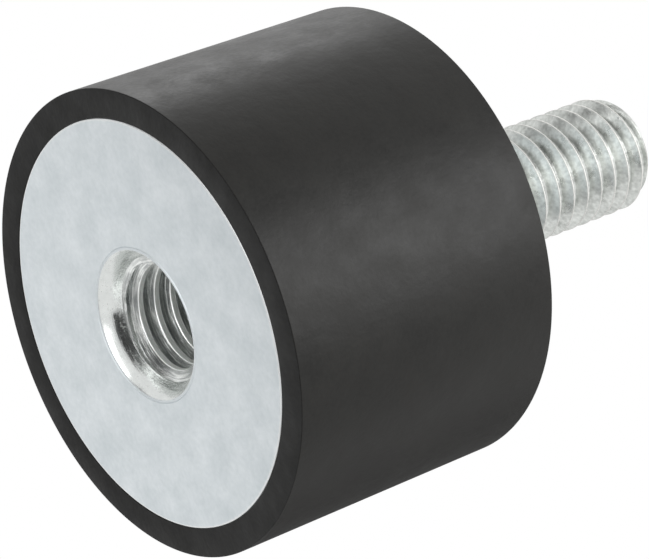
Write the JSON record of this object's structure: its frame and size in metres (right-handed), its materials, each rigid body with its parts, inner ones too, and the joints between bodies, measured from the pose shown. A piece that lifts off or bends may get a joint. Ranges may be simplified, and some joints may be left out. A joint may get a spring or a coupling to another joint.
{
  "type": "rubber buffer",
  "caption": "Cylindrical rubber buffer with flush steel end discs, a blind threaded hole in one end and a threaded stud on the other.",
  "frame": {"origin": "centre of the end face with the threaded hole, on which the buffer stands", "axes": "+Z along the buffer's axis, from the threaded hole to the tip of the stud; +X and +Y are free, because the buffer is round"},
  "size_m": [0.03, 0.03, 0.04],
  "materials": {
    "rubber": "satin black natural rubber, smooth from the mould",
    "zinc_plated_disc": "matt blue-white zinc plating on blanked steel",
    "zinc_plated_thread": "bright zinc plating on rolled and cold-formed steel"
  },
  "bodies": {
    "root": {"rubber_body": "rubber", "female_plate": "zinc_plated_disc", "threaded_bush": "zinc_plated_thread", "male_plate": "zinc_plated_disc", "stud": "zinc_plated_thread"}
  },
  "joints": []
}
